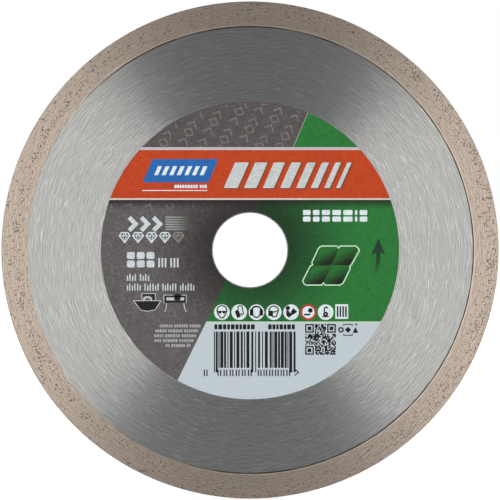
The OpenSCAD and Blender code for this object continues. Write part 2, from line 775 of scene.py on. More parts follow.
@dataclass(frozen=True)
class TileInk:
    """Four glazed tiles in one ink, each shaded from a lit corner to a dark one.

    Attributes:
        name: The material's name.
        lit: Shade of the lit corner.
        dark: Shade of the dark corner.
        corner: X and Z of the lowest tile's left corner, in metres.
        pitch: Width and height of a tile with its joint, in metres.
        lean: How far the tiles' sides run to the right, for each unit of height.
    """

    name: str
    lit: Colour
    dark: Colour
    corner: Point
    pitch: Point
    lean: float

    def make(self) -> bpy.types.Material:
        """Builds the material.

        Returns:
            The material.
        """
        finish = Finish(self.name)
        x, _, z = finish.parts(finish.place())
        rise = finish.sum("SUBTRACT", z, self.corner[1])
        run = finish.sum("SUBTRACT", x, self.corner[0])
        upright = finish.sum("SUBTRACT", run, finish.sum("MULTIPLY", rise, self.lean))
        across = finish.sum("FRACT", finish.sum("DIVIDE", upright, self.pitch[0]))
        up = finish.sum("FRACT", finish.sum("DIVIDE", rise, self.pitch[1]))
        low = finish.sum("SUBTRACT", 1.0, up)
        shade = dithered(finish, finish.along(across, low, (0.45, 0.65)))
        return printed(finish, finish.mix(finish.step(shade, 0.2, 0.95), self.lit, self.dark), 0.38)


# ---------------------------------------------------------------- pieces


def log_piece(piece: bpy.types.Object) -> None:
    """Reports a finished piece."""
    LOG.info("%s: %d points, %d faces", piece.name, len(piece.data.vertices), len(piece.data.polygons))


def add_piece(
    name: str,
    points: Sequence[Place],
    faces: Sequence[Sequence[int]],
    material: bpy.types.Material,
) -> bpy.types.Object:
    """Makes one piece of the blade from its points and faces.

    Args:
        name: The piece's name.
        points: Its points, in metres.
        faces: Its faces, each a list of point numbers.
        material: Its finish.

    Returns:
        The new object, riding on the blade.
    """
    mesh = bpy.data.meshes.new(name)
    mesh.from_pydata(points, [], faces)
    mesh.validate()
    mesh.update()
    mesh.materials.append(material)
    piece = bpy.data.objects.new(name, mesh)
    bpy.context.scene.collection.objects.link(piece)
    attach(piece, BODY)
    log_piece(piece)
    return piece


def dress(node: str, material: bpy.types.Material) -> None:
    """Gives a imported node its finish.

    Args:
        node: The node's name.
        material: The finish.
    """
    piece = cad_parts[node]
    piece.data.materials.clear()
    piece.data.materials.append(material)
    log_piece(piece)


@dataclass
class SteelCore:
    """The ground steel core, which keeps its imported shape.

    Attributes:
        finish: Its finish.
    """

    finish: GroundSteel = field(default_factory=GroundSteel)

    def build(self) -> None:
        """Dresses the core."""
        dress("steel_core", self.finish.make())


@dataclass
class Rim:
    """The sintered rim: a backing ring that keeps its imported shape, and a worn diamond layer.

    Attributes:
        segments: Number of steps round the ring.
        face_steps: Number of steps across each face.
        bevel_steps: Number of steps round each bevel.
        face_wear: Deepest groove that dressing left in a face.
        groove_pitch: Distance from one such groove to the next.
        edge_wear: Deepest flat or nick in the outer edge.
        bevel: Width of the worn outer bevels.
        seam: Radius where the backing ring meets the core.
    """

    segments: int = 1440
    face_steps: int = 16
    bevel_steps: int = 3
    face_wear: float = 0.035 * MM
    groove_pitch: float = 0.7 * MM
    edge_wear: float = 0.10 * MM
    bevel: float = 0.22 * MM
    seam: float = 89.6 * MM

    def __post_init__(self) -> None:
        """Takes the ring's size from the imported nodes."""
        self.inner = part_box("backing_ring")[1][0]
        low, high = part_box("diamond_rim")
        self.outer = high[0]
        self.half = high[1]

    def section(self) -> list[Point]:
        """The ring's section, as radius and depth, once round from the inner front corner.

        Returns:
            The points of the front face, the bevels and the edge, and the back face.
        """
        face = self.outer - self.bevel
        front = [
            (self.inner + (face - self.inner) * step / self.face_steps, -self.half)
            for step in range(self.face_steps + 1)
        ]
        middle = []
        for step in range(1, self.bevel_steps + 1):
            turn = math.pi / 2 * step / self.bevel_steps
            depth = -self.half + self.bevel * (1 - math.cos(turn))
            middle.append((face + self.bevel * math.sin(turn), depth))
        mirrored = [(radius, -depth) for radius, depth in reversed(front + middle)]
        return front + middle + mirrored

    def worn(self, radius: float, depth: float, angle: float) -> Place:
        """Place of one point of the ring once wear has moved it inwards.

        Args:
            radius: The point's radius when new.
            depth: Its place along the bore's axis when new.
            angle: Its place round the ring.

        Returns:
            Where the point is.
        """
        round_x, round_z = math.cos(angle), math.sin(angle)
        groove = noise.noise(Vector((radius / self.groove_pitch, round_x * 9, round_z * 9)))
        share = max(0.0, min(1.0, 0.5 + groove))
        inside = min(1.0, (radius - self.inner) / (0.5 * MM))
        depth *= 1 - self.face_wear / self.half * share * inside
        reach = max(0.0, (radius - (self.outer - 2 * self.bevel)) / (2 * self.bevel))
        wave = noise.noise(Vector((round_x * 40, round_z * 40, depth / MM)))
        nick = max(0.0, noise.noise(Vector((round_x * 150, round_z * 150, 3.0))) - 0.35) * 1.6
        radius -= self.edge_wear * reach * min(1.0, abs(wave) * 0.5 + nick)
        return (radius * round_x, depth, radius * round_z)

    def build(self) -> None:
        """Dresses the backing ring and makes the diamond layer."""
        dress("backing_ring", SinteredBond("backing_bond", pores=0.45, seam=self.seam).make())
        section = self.section()
        count = len(section)
        points = [
            self.worn(radius, depth, FULL_TURN * step / self.segments)
            for step in range(self.segments)
            for radius, depth in section
        ]
        faces = []
        for step in range(self.segments):
            here, there = step * count, (step + 1) % self.segments * count
            for spot in range(count):
                after = (spot + 1) % count
                faces.append((here + spot, here + after, there + after, there + spot))
        finish = SinteredBond("diamond_bond", edge=self.outer)
        piece = add_piece("diamond_bond", points, faces, finish.make())
        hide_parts("diamond_rim")


class Side(Enum):
    """Which face of the rim a crystal stands on, as the way that it faces along Y."""

    FRONT = -1
    BACK = 1


@dataclass
class Crystals:
    """The grains of diamond that stand out of the bond, thick where dressing has opened it up.

    Attributes:
        tries: Number of places tried on each face.
        edge_count: Number of crystals on the cutting edge.
        sizes: Smallest and largest half width of a crystal.
        proud: How far the tallest crystal stands out.
        root: How deep a crystal sits in the bond.
        sides: Number of sides of a crystal.
        overlap: How far the scattered crystals reach in over the backing ring.
        band: Radius about which dressing has opened the bond up.
        band_width: How far crystals are thick to either side of it.
        offset: How far the opened band is shifted towards +X.
        face_sunk: How far a worn face lies below its packed place.
        edge_sunk: How far the worn edge lies inside its packed place.
        edge_share: Share of the edge's width over which its crystals stand.
    """

    tries: int = 7600
    edge_count: int = 900
    sizes: tuple[float, float] = (0.20 * MM, 0.44 * MM)
    proud: float = 0.045 * MM
    root: float = 0.10 * MM
    sides: int = 6
    overlap: float = 2.5 * MM
    band: float = 95.4 * MM
    band_width: float = 2.1 * MM
    offset: float = 2.3 * MM
    face_sunk: float = 0.012 * MM
    edge_sunk: float = 0.04 * MM
    edge_share: float = 0.58

    def __post_init__(self) -> None:
        """Takes the rim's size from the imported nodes."""
        self.inner = -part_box("backing_ring")[0][0] - self.overlap
        self.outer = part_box("diamond_rim")[1][0]
        self.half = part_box("diamond_rim")[1][1]
        self.points: list[Place] = []
        self.faces: list[list[int]] = []
        self.random = random.Random(20)

    def crowding(self, radius: float, angle: float) -> float:
        """Chance that a crystal shows at a place on a face.

        Args:
            radius: Distance from the bore's axis.
            angle: Place round the rim.

        Returns:
            The chance, from 0 to 1.
        """
        across = math.cos(angle - 0.2)
        middle = self.band + self.offset * across
        near = math.exp(-(((radius - middle) / self.band_width) ** 2))
        sides = 0.07 + 0.75 * abs(across) ** 1.6 + (0.18 if across < 0 else 0.0)
        lump = noise.noise(Vector((math.cos(angle) * 14, math.sin(angle) * 14, radius / (3 * MM))))
        return min(1.0, near * sides * max(0.15, 0.75 + 1.5 * lump) + 0.03)

    def add(self, base: Vector, out: Vector, around: Vector) -> None:
        """Adds one crystal, a many-sided grain with a blunt tip.

        Args:
            base: Point on the bond's surface.
            out: Direction away from the surface.
            around: A direction that lies in the surface.
        """
        across = out.cross(around)
        size = self.random.uniform(*self.sizes) * self.random.uniform(0.75, 1.0)
        height = self.proud * self.random.uniform(0.45, 1.0)
        turn = self.random.uniform(0, FULL_TURN)
        stretch = self.random.uniform(0.65, 1.0)
        first = len(self.points)
        for level, width in ((-self.root, 0.7), (-0.2 * height, 1.0), (height, 0.55)):
            for side in range(self.sides):
                angle = turn + FULL_TURN * side / self.sides
                reach = size * width * self.random.uniform(0.85, 1.0)
                spot = around * (math.cos(angle) * reach) + across * (math.sin(angle) * reach * stretch)
                self.points.append(tuple(base + spot + out * level))
        for ring in (0, self.sides):
            start = first + ring
            for side in range(self.sides):
                here, there = start + side, start + (side + 1) % self.sides
                self.faces.append([here, there, there + self.sides, here + self.sides])
        self.faces.append([first + side for side in reversed(range(self.sides))])
        self.faces.append([first + 2 * self.sides + side for side in range(self.sides)])

    def scatter_on_face(self, side: Side) -> None:
        """Scatters crystals over one face.

        Args:
            side: The face.
        """
        for _ in range(self.tries):
            radius = math.sqrt(self.random.uniform(self.inner**2, (self.outer - 0.5 * MM) ** 2))
            angle = self.random.uniform(0, FULL_TURN)
            if self.random.random() > self.crowding(radius, angle):
                continue
            outward = Vector((math.cos(angle), 0, math.sin(angle)))
            surface = (self.half - self.face_sunk) * side.value
            base = outward * radius + Vector((0, surface, 0))
            self.add(base, Vector((0, side.value, 0)), outward)

    def scatter_on_edge(self) -> None:
        """Scatters crystals round the cutting edge."""
        for _ in range(self.edge_count):
            angle = self.random.uniform(0, FULL_TURN)
            outward = Vector((math.cos(angle), 0, math.sin(angle)))
            depth = self.random.uniform(-self.edge_share, self.edge_share) * self.half
            base = outward * (self.outer - self.edge_sunk) + Vector((0, depth, 0))
            self.add(base, outward, Vector((0, 1, 0)))

    def build(self) -> None:
        """Makes all crystals as one piece."""
        self.scatter_on_face(Side.FRONT)
        self.scatter_on_face(Side.BACK)
        self.scatter_on_edge()
        piece = add_piece("diamond_crystals", self.points, self.faces, Crystal().make())
        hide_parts("diamond_grit")


# ---------------------------------------------------------------- printed shapes


def polygon(x: float, y: float, radius: float, sides: int = 40) -> Outline:
    """A regular outline round a point, such as a disc."""
    angles = [FULL_TURN * i / sides for i in range(sides)]
    return [(x + radius * math.cos(angle), y + radius * math.sin(angle)) for angle in angles]


def slanted(left: float, low: float, right: float, high: float, lean: float = 0.0) -> Outline:
    """A bar whose top is moved to the right by lean times its height."""
    shift = lean * (high - low)
    return [(left, low), (right, low), (right + shift, high), (left + shift, high)]


def rounded(left: float, low: float, right: float, high: float, radius: float, lean: float = 0.0) -> Outline:
    """A slanted bar with round corners.

    Args:
        left: Left end at the foot.
        low: Height of the foot.
        right: Right end at the foot.
        high: Height of the top.
        radius: Radius of the corners.
        lean: How far the top is moved to the right, for each unit of height.

    Returns:
        The outline.
    """
    corners = (
        (right - radius, high - radius, 0),
        (left + radius, high - radius, 1),
        (left + radius, low + radius, 2),
        (right - radius, low + radius, 3),
    )
    outline = []
    for x, y, quarter in corners:
        for step in range(4):
            angle = math.pi / 2 * (quarter + step / 3)
            height = y + radius * math.sin(angle)
            outline.append((x + radius * math.cos(angle) + lean * (height - low), height))
    return outline


def ring(x: float, y: float, outer: float, inner: float, sides: int = 40) -> list[Outline]:
    """A ring, as a row of four-sided outlines."""
    far, near = polygon(x, y, outer, sides), polygon(x, y, inner, sides)
    return [[near[i], far[i], far[(i + 1) % sides], near[(i + 1) % sides]] for i in range(sides)]


def stroke(path: Sequence[Point], width: float, closed: bool = False) -> list[Outline]:
    """A line of even width along a path, mitred at its corners.

    Args:
        path: The path's points.
        width: The line's width.
        closed: Whether the last point joins the first.

    Returns:
        One four-sided outline for each stretch.
    """
    count = len(path)
    lefts, rights = [], []
    for i, (x, y) in enumerate(path):
        before = path[i - 1] if closed or i else path[i]
        after = path[(i + 1) % count] if closed or i < count - 1 else path[i]
        into = Vector((x - before[0], y - before[1]))
        away = Vector((after[0] - x, after[1] - y))
        into = into.normalized() if into.length else away.normalized()
        away = away.normalized() if away.length else into
        bisector = (into + away).normalized()
        normal = Vector((-bisector.y, bisector.x))
        reach = width / 2 / max(0.4, normal.dot(Vector((-into.y, into.x))))
        lefts.append((x + normal.x * reach, y + normal.y * reach))
        rights.append((x - normal.x * reach, y - normal.y * reach))
    stretches = range(count if closed else count - 1)
    return [[rights[i], rights[(i + 1) % count], lefts[(i + 1) % count], lefts[i]] for i in stretches]


def moved(
    shapes: Iterable[Outline], x: float, y: float, turn: float = 0.0, scale: float = 1.0
) -> list[Outline]:
    """Shapes that are scaled, turned and then moved."""
    c, s = math.cos(turn) * scale, math.sin(turn) * scale
    return [[(x + px * c - py * s, y + px * s + py * c) for px, py in outline] for outline in shapes]


@dataclass(frozen=True)
class Line:
    """A straight line across the label. A point is kept when it is on the line's left.

    Attributes:
        x: Place of a point on the line, to the right of the label's centre.
        y: Height of that point above the label's centre.
        dx: How far the line runs to the right.
        dy: How far it rises on the way.
    """

    x: float
    y: float
    dx: float
    dy: float

    def side(self, point: Point) -> float:
        """How far a point is to the left of the line."""
        return (self.dx * (point[1] - self.y) - self.dy * (point[0] - self.x)) / math.hypot(self.dx, self.dy)

    def other(self) -> "Line":
        """The same line, keeping the other side."""
        return Line(self.x, self.y, -self.dx, -self.dy)

    def cut(self, shapes: Iterable[Outline]) -> list[Outline]:
        """Cuts shapes along the line.

        Args:
            shapes: Outlines that are convex.

        Returns:
            What lies to the left of the line.
        """
        kept = []
        for outline in shapes:
            piece: Outline = []
            for i, here in enumerate(outline):
                there = outline[(i + 1) % len(outline)]
                a, b = self.side(here), self.side(there)
                if a >= 0:
                    piece.append(here)
                if (a > 0 > b) or (a < 0 < b):
                    share = a / (a - b)
                    x = here[0] + (there[0] - here[0]) * share
                    y = here[1] + (there[1] - here[1]) * share
                    piece.append((x, y))
            if len(piece) > 2:
                kept.append(piece)
        return kept


def level_above(y: float) -> Line:
    """Keeps what is above a height."""
    return Line(0.0, y, 1.0, 0.0)


def level_below(y: float) -> Line:
    """Keeps what is below a height."""
    return Line(0.0, y, -1.0, 0.0)


def inside_circle(shapes: Iterable[Outline], radius: float) -> list[Outline]:
    """Cuts small shapes off where they leave a circle round the label's centre.

    Args:
        shapes: Outlines that are small and convex.
        radius: The circle's radius.

    Returns:
        What lies inside the circle.
    """
    kept = []
    for outline in shapes:
        x = sum(p[0] for p in outline) / len(outline)
        y = sum(p[1] for p in outline) / len(outline)
        far = math.hypot(x, y) or 1.0
        edge = Line(x / far * radius, y / far * radius, -y / far, x / far)
        kept += edge.cut([outline])
    return kept


class Layer(Enum):
    """Order in which the inks lie on the paper."""

    GROUND = 0
    PATTERN = 1
    MARK = 2
    DETAIL = 3


@dataclass
class Press:
    """Turns drawn shapes into thin closed films of ink on the label.

    Attributes:
        film: Thickness of one film.
        fineness: Steps in a millimetre to which points are rounded, so that neighbours share them.
    """

    film: float = 0.012 * MM
    fineness: int = 5000

    def __post_init__(self) -> None:
        """Takes the paper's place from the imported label."""
        self.paper_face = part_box("label_paper")[0][1]

    def print(self, name: str, shapes: Iterable[Outline], layer: Layer, material: bpy.types.Material) -> None:
        """Prints one ink.

        Args:
            name: The piece's name.
            shapes: Convex outlines, anticlockwise, in millimetres from the label's centre.
            layer: Which layer the ink lies in.
            material: The ink.
        """
        back = self.paper_face - self.film * layer.value
        front = back - self.film
        numbers: dict[tuple[int, int], int] = {}
        places: list[Point] = []
        loops: list[list[int]] = []
        for outline in shapes:
            loop: list[int] = []
            for x, y in outline:
                key = (round(x * self.fineness), round(y * self.fineness))
                if key not in numbers:
                    numbers[key] = len(places)
                    places.append((x * MM, y * MM))
                if numbers[key] not in loop:
                    loop.append(numbers[key])
            if len(loop) > 2:
                loops.append(loop)
        count = len(places)
        points = [(x, front, z) for x, z in places] + [(x, back, z) for x, z in places]
        edges = {(loop[i - 1], loop[i]) for loop in loops for i in range(len(loop))}
        faces = loops + [[n + count for n in reversed(loop)] for loop in loops]
        faces += [[a, a + count, b + count, b] for a, b in sorted(edges) if (b, a) not in edges]
        add_piece(name, points, faces, material)


@dataclass
class LabelGrounds:
    """The label's large fields of colour.

    Attributes:
        press: What prints the fields.
        radius: Radius of the printed area.
        hole: Radius of the hole in the print.
        sides: Number of steps round the printed area.
        rows: Number of steps across it.
        band: Heights of the orange band's foot and top.
        upper_line: Height of the top of the pale line over the band.
        lower_line: Height of the foot of the pale line under the band.
        panel_top: Height of the top of the pale line over the panel.
        line_width: Width of that line.
        wedge: Slanted border over the band, between the grey field and the green one.
        wedge_line: Width of the pale line along that border, measured along X.
        main: Slanted border under the band, between the grey field and the green one.
        panel_side: Slanted left side of the panel.
    """

    press: Press
    radius: float = 59.97
    hole: float = 15.33
    sides: int = 240
    rows: int = 6
    band: tuple[float, float] = (20.82, 40.2)
    upper_line: float = 41.35
    lower_line: float = 20.15
    panel_top: float = -28.75
    line_width: float = 0.42
    wedge: Line = Line(17.3, 41.4, -0.4255, -1.0)
    wedge_line: float = 0.18
    main: Line = Line(4.6, 20.1, -0.448, -1.0)
    panel_side: Line = Line(-17.6, -28.9, -0.491, -1.0)

    def annulus(self) -> list[Outline]:
        """The printed area, as rows of small four-sided outlines.

        Returns:
            The outlines.
        """
        deep = self.radius - self.hole
        steps = [self.hole + deep * row / self.rows for row in range(self.rows + 1)]
        shapes = []
        for near, far in zip(steps, steps[1:], strict=False):
            inner, outer = polygon(0, 0, near, self.sides), polygon(0, 0, far, self.sides)
            for i in range(self.sides):
                after = (i + 1) % self.sides
                shapes.append([inner[i], outer[i], outer[after], inner[after]])
        return shapes

    def build(self) -> None:
        """Divides the printed area and prints each field."""
        area = self.annulus()
        top = level_above(self.upper_line).cut(area)
        low = level_below(self.lower_line).cut(area)
        lines = level_above(self.band[1]).cut(level_below(self.upper_line).cut(area))
        foot = level_above(self.lower_line).cut(level_below(self.band[0]).cut(area))
        band = level_above(self.band[0]).cut(level_below(self.band[1]).cut(area))
        bottom = level_below(self.panel_top).cut(low)
        grey = level_above(self.panel_top).cut(self.main.other().cut(low))
        grey += self.panel_side.other().cut(bottom)
        green = level_above(self.panel_top).cut(self.main.cut(low))
        line_foot = self.panel_top - self.line_width
        panel = level_below(line_foot).cut(self.panel_side.cut(bottom))
        panel_line = level_above(line_foot).cut(self.panel_side.cut(bottom))
        seam = replace(self.wedge, x=self.wedge.x + self.wedge_line)
        lines += seam.other().cut(self.wedge.cut(top))
        green += seam.cut(top)
        under = self.lower_line * MM
        grey_ink = Ink("ink_grey", tone(92, 87, 87), tone(40, 34, 33), 0.20, GREY_REACH, (0, 0), under)
        upper_ink = Ink("ink_grey_upper", tone(83, 78, 77), mottle=0.20)
        pale, deep = tone(35, 111, 48), tone(17, 51, 23)
        green_ink = Ink("ink_green", pale, deep, 0.14, GREEN_REACH, shadow_under=under)
        inks = (
            ("print_grey", grey, grey_ink),
            ("print_grey_upper", self.wedge.other().cut(top), upper_ink),
            ("print_green", green, green_ink),
            ("print_orange", band, Ink("ink_orange", tone(183, 62, 20), mottle=0.12)),
            ("print_pale_lines", lines, Ink("ink_line", tone(188, 181, 184), mottle=0.05)),
            ("print_band_foot", foot, Ink("ink_band_foot", tone(205, 198, 184), mottle=0.05)),
            ("print_panel_line", panel_line, Ink("ink_panel_line", tone(190, 212, 182), mottle=0.05)),
            ("print_panel", panel, Ink("ink_panel", tone(186, 196, 201), mottle=0.02)),
        )
        for name, shapes, ink in inks:
            self.press.print(name, shapes, Layer.GROUND, ink.make())


@dataclass
class LabelMarks:
    """Everything printed over the fields of colour. All of it is plain pattern: it spells nothing.

    Attributes:
        press: What prints the shapes.
        lean: Slope of slanted marks, as run for each unit of height.
        disc_row: Where the middle of the first disc stands.
        disc_pitch: Distance from one disc to the next.
        red_disc: Number of the disc that is framed in red.
        gem_row: Where the middle of the first gem stands.
        gem_pitch: Distance from one gem to the next.
        gem_count: Number of gems. The last one is dim.
    """

    press: Press
    lean: float = 0.445
    disc_row: Point = (-11.3, -25.0)
    disc_pitch: float = 6.95
    red_disc: int = 5
    gem_row: Point = (-50.4, 5.0)
    gem_pitch: float = 5.4
    gem_count: int = 5

    def words(
        self, left: float, right: float, low: float, high: float, word: int = 5, seed: int = 0
    ) -> list[Outline]:
        """A line of small blocks, grouped as words are.

        Args:
            left: Left end of the line.
            right: Right end of the line.
            low: Foot of the blocks.
            high: Top of the blocks.
            word: Number of blocks in a group.
            seed: Changes the widths.

        Returns:
            The blocks.
        """
        height = high - low
        widths = []
        x = 0.0
        while x < right - left:
            number = len(widths) + seed
            width = height * (0.52 + 0.3 * math.modf(number * GOLDEN_SHARE)[0])
            widths.append((x, x + width))
            x += width + height * (0.18 if (number + 1) % word else 0.62)
        fit = (right - left) / widths[-1][1]
        return [rounded(left + a * fit, low, left + b * fit, high, height * 0.12) for a, b in widths]

    def uprights(
        self, left: float, right: float, low: float, high: float, line: float, word: int
    ) -> list[Outline]:
        """A line of thin upright strokes of two heights, grouped as words are.

        Args:
            left: Left end of the line.
            right: Right end of the line.
            low: Foot of the strokes.
            high: Top of the tall strokes.
            line: Width of a stroke.
            word: Number of strokes in a group.

        Returns:
            The strokes.
        """
        shapes, x, number = [], left, 0
        while x + line <= right:
            share = math.modf(number * GOLDEN_SHARE)[0]
            top = high if share > 0.4 else low + 0.74 * (high - low)
            shapes.append(slanted(x, low, x + line, top))
            number += 1
            x += line * (1.95 + 0.5 * share if number % word else 4.2)
        return shapes

    def stacked(self, left: float, low: float, right: float, high: float, radius: float) -> list[Outline]:
        """Two small tiles, one over the other.

        Args:
            left: Left end of both.
            low: Foot of the lower one.
            right: Right end of both.
            high: Top of the upper one.
            radius: Radius of their corners.

        Returns:
            The two tiles.
        """
        middle, gap = (low + high) / 2, 0.28
        lower = rounded(left, low, right, middle - gap, radius)
        upper = rounded(left, middle + gap, right, high, radius)
        return [lower, upper]

    def chevrons(self, count: int, width: float, height: float, pitch: float, line: float) -> list[Outline]:
        """A row of arrow heads, from the origin to the right.

        Args:
            count: Number of heads.
            width: Width of a head.
            height: Height of a head.
            pitch: Distance from one head to the next.
            line: Width of the line that they are drawn with.

        Returns:
            The shapes.
        """
        shapes = []
        for number in range(count):
            x = number * pitch
            shapes += stroke([(x, 0), (x + width, height / 2), (x, height)], line)
        return shapes

    def ghost_group(self) -> list[Outline]:
        """Two chevrons with a diamond between them, drawn in lines.

        Returns:
            The shapes.
        """
        chevron = self.chevrons(1, 2.2, 4.0, 0.0, 0.56)
        diamond = stroke([(0, -1.95), (1.7, 0), (0, 1.95), (-1.7, 0)], 0.52, closed=True)
        return chevron + moved(diamond, 5.0, 2.0) + moved(chevron, 7.7, 0)

    def ghost_pattern(self) -> None:
        """Faint groups of figures in slanted rows across the grey fields."""
        turn = math.radians(62)
        group = self.ghost_group()
        pattern = []
        for row in range(-12, 13):
            for spot in range(-6, 7):
                along = spot * 12.6 + (row % 3) * 4.2
                across = row * 7.0
                x = along * math.cos(turn) - across * math.sin(turn)
                y = along * math.sin(turn) + across * math.cos(turn)
                pattern += moved(group, x, y, turn)
        upper = Line(16.8, 41.4, 0.4255, 1.0).cut(level_above(41.6).cut(pattern))
        lower = level_above(-27.0).cut(level_below(18.6).cut(pattern))
        lower = Line(3.6, 20.1, 0.448, 1.0).cut(lower)
        lower = [outline for outline in lower if all(math.hypot(*point) > 16.2 for point in outline)]
        strong = Ink("ink_ghost", tone(113, 107, 106), mottle=0.16)
        self.press.print("print_ghost_upper", inside_circle(upper, 59.2), Layer.PATTERN, strong.make())
        faint = Ink("ink_ghost_faint", tone(104, 99, 99), tone(43, 37, 36), 0.16, GREY_REACH, (0, 0))
        self.press.print("print_ghost_lower", inside_circle(lower, 59.0), Layer.PATTERN, faint.make())

    def band_marks(self) -> None:
        """The blue field with its hatching, and the silver stripes that thin out to the right."""
        blue_field = [[(-43.2, 27.2), (-16.7, 27.2), (-12.7, 36.6), (-39.1, 36.6)]]
        blue = Ink("ink_blue", tone(33, 98, 168), mottle=0.12)
        self.press.print("print_blue", blue_field, Layer.MARK, blue.make())
        hatch = []
        for number in range(7):
            left = -38.6 + 3.05 * number
            hatch.append(slanted(left, 30.1, left + 1.6, 33.7, self.lean))
        hatch += self.words(-30.4, -17.4, 24.9, 26.2, 12, 3)
        hatch.append(slanted(-43.4, 23.75, -17.2, 24.1))
        pale = Ink("ink_pale", tone(216, 226, 229), mottle=0.1)
        self.press.print("print_band_small", hatch, Layer.DETAIL, pale.make())
        silver, shade, left = [], [], -10.6
        for number in range(8):
            width = 5.6 - 0.55 * number
            silver.append(rounded(left, 24.9, left + width, 35.2, 0.35, self.lean))
            shade.append(rounded(left - 0.1, 24.45, left + width + 0.5, 35.3, 0.35, self.lean))
            left += width + 2.5
        brown = Ink("ink_brown", tone(124, 62, 40), mottle=0.1)
        self.press.print("print_silver_shade", shade, Layer.PATTERN, brown.make())
        bright = Ink("ink_silver", tone(192, 196, 195), mottle=0.12)
        self.press.print("print_silver", silver, Layer.MARK, bright.make())

    def grade_marks(self) -> list[Outline]:
        """Three bold chevrons."""
        return moved(self.chevrons(3, 2.6, 5.3, 4.9, 1.75), -48.6, 7.8)

    def gems(self) -> list[Outline]:
        """The row of cut gems under the chevrons, without the dim last one."""
        return [outline for number in range(self.gem_count - 1) for outline in self.gem(number)]

    def gem(self, number: int) -> list[Outline]:
        """A cut gem drawn in lines, seen from the side.

        Args:
            number: Its number in the row.

        Returns:
            The shapes.
        """
        line = 0.42
        outline = [(-1.35, 2.1), (-2.25, 0.75), (0.0, -2.1), (2.25, 0.75), (1.35, 2.1)]
        shapes = stroke(outline, line * 1.15, closed=True)
        shapes += stroke([(-2.1, 0.75), (2.1, 0.75)], line * 0.8)
        shapes += stroke([(-0.85, 0.75), (0.0, 1.9), (0.85, 0.75)], line * 0.8)
        shapes += stroke([(-0.85, 0.75), (0.0, -1.8), (0.85, 0.75)], line * 0.8)
        return moved(shapes, self.gem_row[0] + self.gem_pitch * number, self.gem_row[1], scale=0.95)

    def size_marks(self) -> list[Outline]:
        """The lines of blocks that stand where a label gives its sizes.

        Returns:
            The blocks.
        """
        shapes = []
        for number in range(3):
            shapes += self.stacked(-49.5 + 3.95 * number, -7.0, -46.3 + 3.95 * number, -0.8, 0.75)
        for number in range(6):
            left = -36.9 + 1.32 * number + (0.9 if number > 2 else 0.0)
            shapes.append(slanted(left, -7.0, left + 0.68, -3.3))
        shapes += self.uprights(-49.5, -38.6, -12.4, -9.6, 0.50, 4)
        shapes += self.uprights(-49.5, -21.4, -16.3, -13.5, 0.47, 6)
        return shapes

    def small_lines(self) -> list[Outline]:
        """The five short lines of small blocks that lean on the panel.

        Returns:
            The blocks.
        """
        shapes = []
        ends = (-19.9, -21.0, -21.7, -22.8, -23.9)
        starts = (-36.3, -38.1, -38.5, -38.4, -33.9)
        for number, (left, right) in enumerate(zip(starts, ends, strict=True)):
            foot = -31.1 - 1.97 * number
            shapes += self.words(left, right, foot, foot + 1.15, 6, number)
        return shapes

    def heading(self) -> list[Outline]:
        """The row of blocks that stands where a label names its use.

        Returns:
            The blocks.
        """
        widths = (3.3, 2.9, 3.5, 3.7, 4.0, 1.2, 3.3)
        shapes, left = [], 21.3
        for width in widths:
            shapes += self.stacked(left, 11.4, left + width - 0.25, 16.1, 0.45)
            left += width + 0.7
        return shapes

    def tile_icon(self) -> None:
        """Four slanted tiles inside a pale outline."""
        corner, pitch, lean, joint = (21.9, -13.9), (7.45, 7.65), 0.455, 0.12
        tiles = []
        for column in range(2):
            for row in range(2):
                low = corner[1] + pitch[1] * row
                left = corner[0] + pitch[0] * column + lean * pitch[1] * row
                right, high = left + pitch[0] - joint, low + pitch[1] - joint
                tiles.append(rounded(left + joint, low + joint, right, high, 0.9, lean))
        start = (corner[0] * MM, corner[1] * MM)
        size = (pitch[0] * MM, pitch[1] * MM)
        ink = TileInk("ink_tiles", tone(36, 104, 44), tone(20, 28, 16), start, size, lean)
        self.press.print("print_tiles", tiles, Layer.MARK, ink.make())

    def tile_outline(self) -> list[Outline]:
        """The pale line round the four tiles, with a notch at each joint.

        Returns:
            The shapes.
        """
        top = [(28.2, 1.3), (29.0, 1.6), (34.9, 1.6), (35.6, 0.8), (36.3, 1.6), (42.5, 1.6)]
        right = [(43.4, 0.9), (44.0, -0.2), (40.9, -5.8), (40.1, -6.7), (40.3, -7.5), (38.0, -12.3)]
        foot = [(37.3, -13.5), (36.2, -14.1), (30.2, -14.1), (29.5, -13.2), (28.8, -14.1), (22.5, -14.1)]
        left = [(21.6, -13.5), (21.2, -12.3), (24.2, -6.5), (25.2, -5.9), (24.8, -5.1), (27.5, 0.6)]
        clockwise = top + right + foot + left
        return stroke(clockwise[::-1], 0.46, closed=True)

    def disc_place(self, number: int) -> Point:
        """The middle of one disc of the row."""
        return (self.disc_row[0] + self.disc_pitch * number, self.disc_row[1])

    def discs(self) -> list[Outline]:
        """Six pale discs and a pale square along the foot of the green field.

        Returns:
            The shapes.
        """
        shapes = [polygon(*self.disc_place(i), 3.15) for i in range(7) if i != self.red_disc]
        shapes.append(slanted(34.3, -27.7, 39.5, -21.8))
        return shapes

